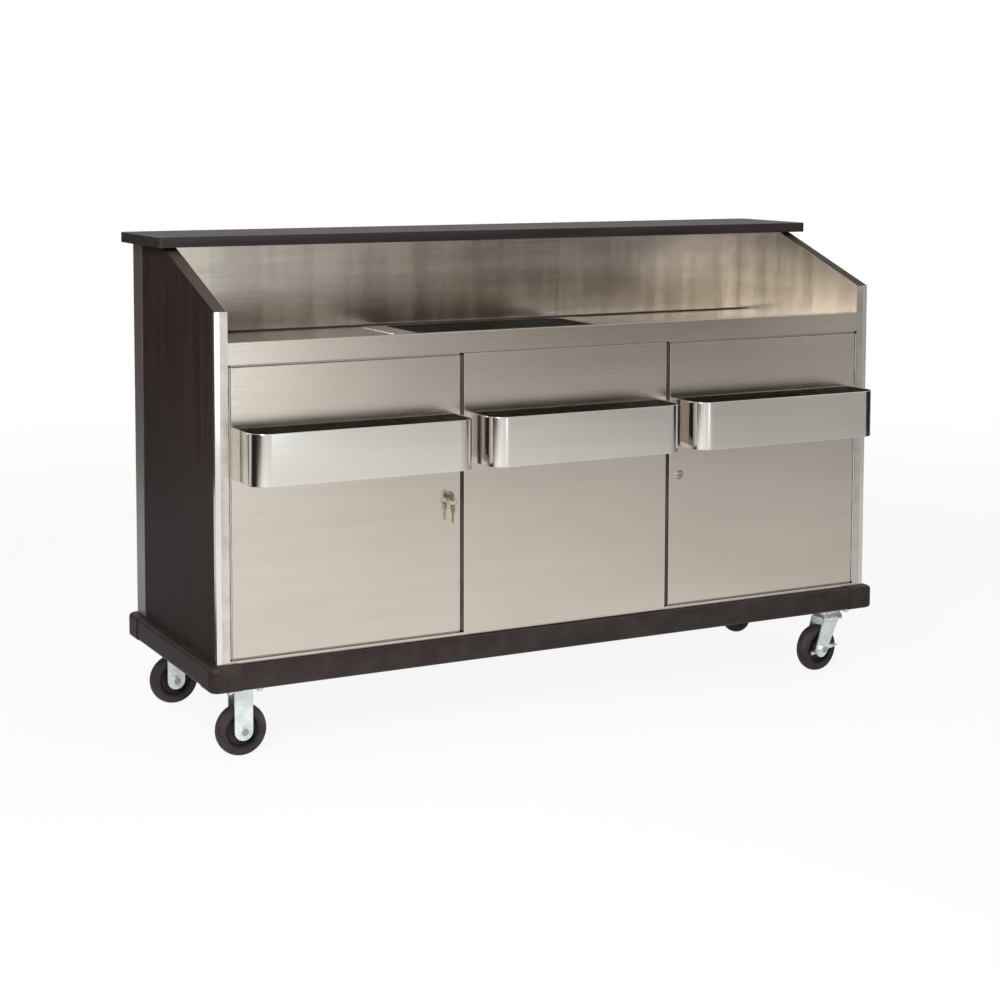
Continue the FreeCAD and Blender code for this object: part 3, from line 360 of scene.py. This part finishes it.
plated("zinc_steel", (0.85, 0.91, 0.925), 0.27, 0.09, metallic=0.7)
plated("axle_steel", (0.42, 0.425, 0.41), 0.34, 0.10, metallic=0.7)
plated("cam_steel", (0.62, 0.64, 0.64), 0.30, 0.14)
plated("lock_chrome", (0.46, 0.44, 0.41), 0.17, 0.06, FINE_CELLS)
plated("key_brass", (0.36, 0.29, 0.19), 0.30, 0.12, KEY_CELLS)
plated("nickel_brass", (0.66, 0.63, 0.57), 0.24, 0.10)
print("finishes with the plated metals", len(FINISHES))

# %% Paint and foam
RIPPLE_SIZE = 420.0
RIPPLE_DEPTH = 0.0002
RIPPLE_STRENGTH = 0.35
PAINT_CLOUD = 8.0
PAINT_SHADE = 0.85
PAINT_GLOSS = 0.12
PAINT_INDEX = 1.5


def painted(name, base, roughness):
    made = Finish(name, IOR=PAINT_INDEX)
    ripple = made.place.noise(RIPPLE_SIZE)
    cloud = made.place.noise(PAINT_CLOUD, detail=3.0)
    made.set("Base Color", cloud.mix(colour(base, PAINT_SHADE), colour(base)))
    made.set("Roughness", roughness + PAINT_GLOSS * (cloud - 0.5))
    made.bump(ripple, RIPPLE_DEPTH, RIPPLE_STRENGTH)


painted("black_steel", (0.022, 0.021, 0.021), 0.48)
painted("lever_steel", (0.30, 0.02, 0.02), 0.35)
painted("foam", (0.62, 0.56, 0.42), 0.85)
print("finishes", len(FINISHES))

# %% [markdown]
# ## Finishes onto the frame
# Each node of the frame names its material slot in the record, and most of them simply get the
# finish of that name. Four are the same steel cut or kept in another way: the end liners and the
# partitions have their grain along the depth of the bar, and they and the splash carry upright streaks
# of painted reflection.

# %% Dress every node
OWN_FINISH = {"left_end_liner": "end_liner_steel", "right_end_liner": "end_liner_steel",
              "partitions": "end_liner_steel", "back_splash": "splash_steel"}
for name, node in frame["nodes"].items():
    node.data.materials.clear()
    node.data.materials.append(FINISHES[OWN_FINISH.get(name, SLOT_OF[name])])
print("dressed", len(frame["nodes"]), "nodes,", len(OWN_FINISH), "with a finish of their own")

# %% [markdown]
# ## Small fasteners
# Rivets, bolt heads and washers are little turned shapes, so one function spins a profile of
# (radius, height) pairs about an axis: six steps and no smoothing give a hex head, many steps a
# dome. A whole set is one mesh, which keeps the list of pieces short.


# %% A turned shape, repeated
def spin_into(shape, profile, place, axis, steps):
    """Spin (radius, height) pairs about an axis through place, into an open bmesh."""
    across = axis.orthogonal().normalized()
    side = axis.cross(across)
    rings = []
    for radius, height in profile:
        ring = []
        for step in range(steps):
            angle = 2 * math.pi * step / steps
            spoke = across * math.cos(angle) + side * math.sin(angle)
            ring.append(shape.verts.new(place + axis * height + spoke * radius))
        rings.append(ring)
    for lower, upper in zip(rings, rings[1:]):
        for step in range(steps):
            following = (step + 1) % steps
            shape.faces.new((lower[step], lower[following], upper[following], upper[step]))
    shape.faces.new(list(reversed(rings[0])))
    shape.faces.new(rings[-1])


def piece_from(shape, name, slot, body, smooth=False, finish=None):
    """Turn an open bmesh into a dressed object that rides on a body."""
    mesh = bpy.data.meshes.new(name)
    bmesh.ops.recalc_face_normals(shape, faces=shape.faces)
    shape.to_mesh(mesh)
    shape.free()
    mesh.materials.append(FINISHES[finish or slot])
    for polygon in mesh.polygons:
        polygon.use_smooth = smooth
    made = bpy.data.objects.new(name, mesh)
    bpy.context.scene.collection.objects.link(made)
    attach(made, body)


HEX_STEPS = 6
ROUND_STEPS = 16
CAP_STEPS = 24
print("steps of a hex head, a small round and a cap", HEX_STEPS, ROUND_STEPS, CAP_STEPS)

# %% [markdown]
# ## Rivets of the speed rails
# Each rail is held to the sheet behind it by two rows of blind rivets. Their heads show on the rail's
# back wall: a low dome with a small dimple where the stem broke off. The profile ends lower in the
# middle than at its crown, which makes that dimple.

# %% Rivet heads
RIVET_RADIUS = 0.0048
RIVET_SHAPE = [(1.0, 0.0), (0.96, 0.0006), (0.72, 0.0013), (0.35, 0.0017), (0.30, 0.0012)]
RIVET_DOME = [(RIVET_RADIUS * share, height) for share, height in RIVET_SHAPE]
RIVET_SHARES = (0.06, 0.35, 0.65, 0.94)
RIVET_ABOVE_FLOOR = 0.035
RIVET_BELOW_MOUTH = 0.03
RAIL_SHEET = 0.0015
RAIL_BODIES = {"left_speed_rail": "left_door", "centre_speed_rail": "carcass",
               "right_speed_rail": "right_door"}
TOWARDS_OPERATOR = Vector((0, -1, 0))
for rail, body in RAIL_BODIES.items():
    low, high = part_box(rail)
    shape = bmesh.new()
    for share in RIVET_SHARES:
        x = low.x + share * (high.x - low.x)
        for z in (low.z + RIVET_ABOVE_FLOOR, high.z - RIVET_BELOW_MOUTH):
            seat = Vector((x, high.y - RAIL_SHEET, z))
            spin_into(shape, RIVET_DOME, seat, TOWARDS_OPERATOR, ROUND_STEPS)
    rivets = rail.replace("speed_rail", "rail_rivets")
    piece_from(shape, rivets, "polished_stainless", body, smooth=True)
print("rivets on", len(RAIL_BODIES), "rails")

# %% [markdown]
# ## Bolts of the caster plates
# Four hex bolts with washers hold each caster plate to the base. The plates lie at the casters'
# stems, which the joints know: a swivel's own joint, and the wheel's joint where a caster is fixed.

# %% Bolts and washers
BOLT_ACROSS = 0.0075
BOLT_HEAD = [(BOLT_ACROSS, 0.0018), (BOLT_ACROSS, 0.0062), (BOLT_ACROSS * 0.86, 0.0072)]
WASHER = [(0.0105, 0.0), (0.0105, 0.0018)]
PLATE_THICKNESS = 0.004
PLATE_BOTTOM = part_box("rigid_caster_forks")[1].z - PLATE_THICKNESS
BOLT_X = 0.037
BOLT_Y = 0.032
DOWN = Vector((0, 0, -1))
STEM_JOINTS = ("swivel_turn", "left_wheel_spin")
stems = [Vector(joint["pos_m"]) for joint in frame["joints"]
         if joint["parent"] == "carcass" and joint["name"].split("_", 1)[1] in STEM_JOINTS]
shape = bmesh.new()
for stem in stems:
    for along in (-BOLT_X, BOLT_X):
        for aside in (-BOLT_Y, BOLT_Y):
            seat = Vector((stem.x + along, stem.y + aside, PLATE_BOTTOM))
            spin_into(shape, WASHER, seat, DOWN, ROUND_STEPS)
            spin_into(shape, BOLT_HEAD, seat, DOWN, HEX_STEPS)
piece_from(shape, "caster_bolts", "zinc_steel", "carcass")
print("casters bolted", len(stems))

# %% [markdown]
# ## Ends of the axle bolts
# Each wheel turns on a bolt whose ends are crimped into low, duller buttons. How far the bolt reaches
# is measured on the mesh that holds it, so the buttons sit on its ends whatever its length is.

# %% Axle ends
AXLE_CAP = [(0.0088, 0.0), (0.0088, 0.0007), (0.0074, 0.0013)]
CASTER_HALF_WIDTH = 0.06
AXLE_SURROUND = 0.015


def reach_along(node, place, axis):
    """How far the axle at a place reaches along its axis, within one caster."""
    best = 0.0
    for vertex in node.data.vertices:
        along = (vertex.co - place).dot(axis)
        aside = (vertex.co - place - axis * along).length
        if along < CASTER_HALF_WIDTH and aside < AXLE_SURROUND:
            best = max(best, along)
    return best


wheel_joints = [joint for joint in frame["joints"] if joint["name"].endswith("wheel_spin")]
for joint in wheel_joints:
    row, side = joint["name"].split("_")[:2]
    bolt = "rigid_caster_forks" if side == "left" else row + "_swivel_axle"
    centre = Vector(joint["pos_m"])
    shape = bmesh.new()
    for way in (1, -1):
        axis = way * Vector(joint["axis"]).normalized()
        end = centre + axis * reach_along(frame["nodes"][bolt], centre, axis)
        spin_into(shape, AXLE_CAP, end, axis, CAP_STEPS)
    ends = row + "_" + side + "_axle_ends"
    piece_from(shape, ends, "cam_steel", joint["parent"], finish="axle_steel")
print("axles capped", len(wheel_joints))

# %% [markdown]
# ## Strips in the joints
# A narrow gap runs above, below and beside each door. A grey stop strip sits a few millimetres inside
# each level gap and a dark rubber seal inside each upright one next to the fixed panel, so a gap
# reads as a soft line and not as a black slot. A thin dark bar also lies where the decks meet the
# back splash: partly a sealant joint and partly painted shade, standing for the shade in that
# crease. All of them are plain bars, measured from the pieces on either side.


# %% Door stops and door seals
def bar_into(shape, low, high):
    """A block between two corners, into an open bmesh."""
    made = bmesh.ops.create_cube(shape, size=1.0)
    low, high = Vector(low), Vector(high)
    size = high - low
    for vertex in made["verts"]:
        share = vertex.co + Vector((0.5, 0.5, 0.5))
        vertex.co = low + Vector((share.x * size.x, share.y * size.y, share.z * size.z))


STOP_DEPTH = 0.0045
STOP_THICKNESS = 0.002
STOP_CLEARANCE = 0.0006
sill_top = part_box("bottom_rails")[1].z
fascia_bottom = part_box("top_fascia")[0].z
panel_low, panel_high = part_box("centre_panel")
stop_shape = bmesh.new()
seal_shape = bmesh.new()
for side in ("left", "right"):
    low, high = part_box(side + "_door_skin")
    front = low.y + STOP_DEPTH
    back = front + STOP_THICKNESS
    above = high.z + STOP_CLEARANCE
    below = low.z - STOP_CLEARANCE
    bar_into(stop_shape, (low.x, front, above), (high.x, back, fascia_bottom))
    bar_into(stop_shape, (low.x, front, sill_top), (high.x, back, below))
    if side == "left":
        near, far = high.x + STOP_CLEARANCE, panel_low.x
    else:
        near, far = panel_high.x, low.x - STOP_CLEARANCE
    bar_into(seal_shape, (near, front, low.z), (far, back, high.z))
piece_from(stop_shape, "door_stops", "grey_aluminium", "carcass")
piece_from(seal_shape, "door_seals", "bumper_rubber", "carcass", finish="seal_rubber")
print("stops", round(fascia_bottom - above, 4), round(below - sill_top, 4),
      "and seals", round(far - near, 4), "wide")

# %% Deck seal and painted crease shade
SEAL_AND_SHADE_SIZE = 0.004
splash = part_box("back_splash")[0]
deck_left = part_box("left_worktop")
deck_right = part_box("right_worktop")[1]
# a thin dark bar at the crease of deck and splash: a sealant joint, and painted shade of that crease as
# well
shape = bmesh.new()
bar_into(shape, (deck_left[0].x, splash.y - SEAL_AND_SHADE_SIZE, deck_left[1].z),
         (deck_right.x, splash.y, deck_right.z + SEAL_AND_SHADE_SIZE))
piece_from(shape, "deck_seal_and_shade", "bumper_rubber", "carcass")
print("deck seal", round(deck_right.x - deck_left[0].x, 3), "long")

# %% [markdown]
# ## Floor
# The bar stands in a white studio, on a pale floor that keeps a soft shadow. To the camera most of the
# floor is a plain glow, so it stays white; the rest is lit like any surface. Polished sheet shows the
# floor too, and there it is toned by place, as a real studio is: brighter in front to the left, darker
# to the right, with one light patch farther away. Beside the left end the floor is dark to bounced and
# mirrored light only, as if a black cloth lay there out of the picture, which keeps the end panel deep.


# %% Floor sheet
def ray_kinds(tree, *kinds):
    """For each kind of ray, a value that is 1 for such a ray and 0 for any other."""
    node = tree.nodes.new("ShaderNodeLightPath")
    return [Wire(tree, node.outputs["Is " + kind + " Ray"]) for kind in kinds]


FLOOR_HALF = 30.0
floor_mesh = bpy.data.meshes.new("floor")
shape = bmesh.new()
bmesh.ops.create_grid(shape, x_segments=2, y_segments=2, size=FLOOR_HALF)
shape.to_mesh(floor_mesh)
shape.free()
floor = bpy.data.objects.new("floor", floor_mesh)
bpy.context.scene.collection.objects.link(floor)
print("floor half width", FLOOR_HALF)

# %% Tones of the floor, by place
WHITE = (1.0, 1.0, 1.0)
FLOOR_WHITE = (0.90, 0.90, 0.895)
DARK_CLOTH = (0.045, 0.036, 0.031)
CAMERA_SHARE = 0.90
METAL_SHARE = 0.37
LEFT_SHEEN = 1.3
MIDDLE_LOSS = 0.3
RIGHT_LOSS = 0.85
NEAR_RIGHT_LOSS = 0.8
FAR_GAIN = 0.35
floor_finish = Finish("studio_floor", Roughness=0.9)
ground = floor_finish.place
camera_ray, glossy, clear, bounced = ray_kinds(floor_finish.tree, "Camera", "Glossy",
                                               "Transmission", "Diffuse")
across = ground.part("X")
along = ground.part("Y")
away = ground.add("ShaderNodeVectorMath", {"operation": "LENGTH"}, output=1, i0=ground)
beside_end = across.fading(-1.3, -1.0) * along.between(-1.6, -1.0) * along.fading(0.8, 2.0)
near_right = across.between(0.8, 1.5) * away.fading(2.2, 3.6)
far_patch = across.between(-0.6, 0.3) * across.fading(0.9, 1.7) * away.between(3.0, 5.0)
level = LEFT_SHEEN - MIDDLE_LOSS * across.between(-0.2, 0.8) - RIGHT_LOSS * across.between(1.5, 3.4)
sheen = METAL_SHARE * level * (1.0 - NEAR_RIGHT_LOSS * near_right) + FAR_GAIN * far_patch
sheen = sheen * (1.0 - beside_end)
white = CAMERA_SHARE + (1.0 - CAMERA_SHARE) * away.between(2.2, 6.0)
print("floor tones", len(floor_finish.tree.nodes), "nodes")

# %% Floor shader
unseen = beside_end * (bounced + glossy)
floor_finish.set("Base Color", unseen.mix(colour(FLOOR_WHITE), colour(DARK_CLOTH)))
lit = Wire(floor_finish.tree, floor_finish.shader.outputs[0])
glow = ground.add("ShaderNodeEmission", Color=colour(WHITE), Strength=1.0)
glowing = white * camera_ray + sheen * (glossy + clear).clamped()
floor_mix = ground.add("ShaderNodeMixShader", i0=glowing, i1=lit, i2=glow)
ground.plug(floor_finish.tree.nodes["Material Output"].inputs["Surface"], floor_mix)
floor_mesh.materials.append(floor_finish.material)
print("floor shader", floor_mix.socket.node.name)

# %% [markdown]
# ## Flags
# Polished sheet looks like whatever stands round it, and in an empty white room it looks like paper.
# A studio hangs cloths on stands for it, called flags: dark ones draw the edges of the sheet, grey
# ones tone its faces. They are single upright faces that the camera doesn't see.


# %% Cloths on stands
def flag(name, start, end, heights, shade):
    """A cloth from start to end on the floor plan, hung between two heights."""
    low, high = heights
    mesh = bpy.data.meshes.new(name)
    corners = [(*start, low), (*end, low), (*end, high), (*start, high)]
    mesh.from_pydata(corners, [], [(0, 1, 2, 3)])
    cloth = Finish(name, Roughness=0.95, Specular_IOR_Level=0.0)
    cloth.set("Base Color", colour(shade))
    mesh.materials.append(cloth.material)
    made = bpy.data.objects.new(name, mesh)
    made.visible_camera = False
    bpy.context.scene.collection.objects.link(made)


WARM_GREY = (0.50, 0.435, 0.395)
PALE_GREY = (0.50, 0.48, 0.47)
DEEP_GREY = (0.13, 0.11, 0.10)
flag("grey_flag", (1.85, -5.0), (4.0, -5.0), (0.42, 1.8), WARM_GREY)
flag("dark_flag", (2.8, -4.9), (3.85, -4.9), (0.42, 1.8), DARK_CLOTH)
flag("left_flag", (-4.2, -4.6), (-4.2, 0.6), (0.0, 1.8), DARK_CLOTH)
flag("back_flag", (-3.8, 2.4), (-1.2, 3.6), (0.0, 2.2), DEEP_GREY)
flag("high_flag", (0.1, -5.1), (1.8, -5.1), (1.6, 2.5), DARK_CLOTH)
flag("right_flag", (4.6, -3.0), (4.6, 1.0), (0.0, 1.8), DARK_CLOTH)
flag("camera_flag", (-4.3, -5.5), (-3.1, -5.5), (0.1, 1.9), DARK_CLOTH)
flag("rear_flag", (-0.5, 4.2), (5.0, 4.2), (1.0, 2.4), PALE_GREY)
print("flags", [name for name in FINISHES if name.endswith("_flag")])

# %% [markdown]
# ## World
# What the camera sees behind the bar is plain white. For light it is a dimmer, slightly warm sky, and
# metal sees something halfway, so that reflections keep some contrast with the white ground.

# %% White room
SKY_TINT = (1.0, 0.985, 0.965)
SKY_STRENGTH = 0.40
METAL_SKY_SHARE = 0.5
world = bpy.data.worlds.new("studio")
bpy.context.scene.world = world
world.use_nodes = True
sky = world.node_tree
camera_ray, glossy, clear = ray_kinds(sky, "Camera", "Glossy", "Transmission")
seen_white = camera_ray.add("ShaderNodeBackground", Color=colour(WHITE), Strength=1.0)
soft = camera_ray.add("ShaderNodeBackground", Color=colour(SKY_TINT), Strength=SKY_STRENGTH)
whiteness = camera_ray + METAL_SKY_SHARE * (glossy + clear).clamped()
world_mix = camera_ray.add("ShaderNodeMixShader", i0=whiteness, i1=soft, i2=seen_white)
camera_ray.plug(sky.nodes["World Output"].inputs["Surface"], world_mix)
print("world", world.name, "strength", SKY_STRENGTH)

# %% [markdown]
# ## Lamps
# Large soft lamps light the work side from the upper left and fill the shadow side, at a level where
# a colour renders about as it is written. Two narrow strips give the splash and the doors their long,
# soft glints. Area lamps do both, because their shape shows in the sheet.


# %% Soft lamps
def soft_lamp(name, place, aim, size, power, tint=WHITE):
    """A rectangular lamp, width and height in metres and power in watts."""
    data = bpy.data.lights.new(name, "AREA")
    data.shape = "RECTANGLE"
    data.size, data.size_y = size
    data.energy = power
    data.color = tint
    lamp = bpy.data.objects.new(name, data)
    lamp.location = place
    lamp.rotation_euler = (Vector(aim) - Vector(place)).to_track_quat("-Z", "Y").to_euler()
    bpy.context.scene.collection.objects.link(lamp)


soft_lamp("key", (-2.75, -2.75, 2.4), (-0.2, -1.4, 0.0), (1.6, 1.6), 140)
soft_lamp("fill", (3.6, -3.2, 2.4), (0, 0, 0.7), (2.0, 2.6), 4.5, tint=(1.0, 0.93, 0.86))
soft_lamp("overhead", (0, 0.4, 4.4), (0, 0, 1.0), (3.4, 2.2), 26)
soft_lamp("strip", (-2.6, -5.6, 0.8), (0.85, 0.0, 1.05), (0.25, 1.2), 2.5, tint=(1.0, 0.98, 0.96))
soft_lamp("low_strip", (0.76, -5.2, 0.5), (-0.6, 0.3, 1.0), (0.5, 0.9), 2.3, tint=(0.91, 0.98, 1.0))
print("lamps", [lamp.name for lamp in bpy.data.lights])

# %% [markdown]
# ## Camera
# The camera stands to the operator's left, a little above the bar, and looks slightly down. Its
# place and lens were found by matching the corners of the bar. The frame is then shifted, not tilted,
# to put the bar above the middle of the picture, so the uprights stay nearly parallel.

# %% Camera
CAMERA_PLACE = (-2.5015, -4.6464, 1.4862)
CAMERA_YAW = math.radians(-27.725)
CAMERA_PITCH = math.radians(4.796)
CAMERA_ROLL = math.radians(0.144)
camera_data = bpy.data.cameras.new("camera")
camera_data.sensor_width = 36.0
camera_data.lens = 72.26
camera_data.shift_y = -0.20
camera = bpy.data.objects.new("camera", camera_data)
turn = Matrix.Rotation(CAMERA_YAW, 4, "Z") @ Matrix.Rotation(math.pi / 2 - CAMERA_PITCH, 4, "X")
camera.matrix_world = Matrix.Translation(CAMERA_PLACE) @ turn @ Matrix.Rotation(CAMERA_ROLL, 4, "Z")
bpy.context.scene.collection.objects.link(camera)
bpy.context.scene.camera = camera
bpy.context.scene.view_settings.view_transform = "Standard"
print("lens", camera_data.lens)

# %% [markdown]
# ## Sizes
# The dressed bar has to fill the construction model's box and no more.
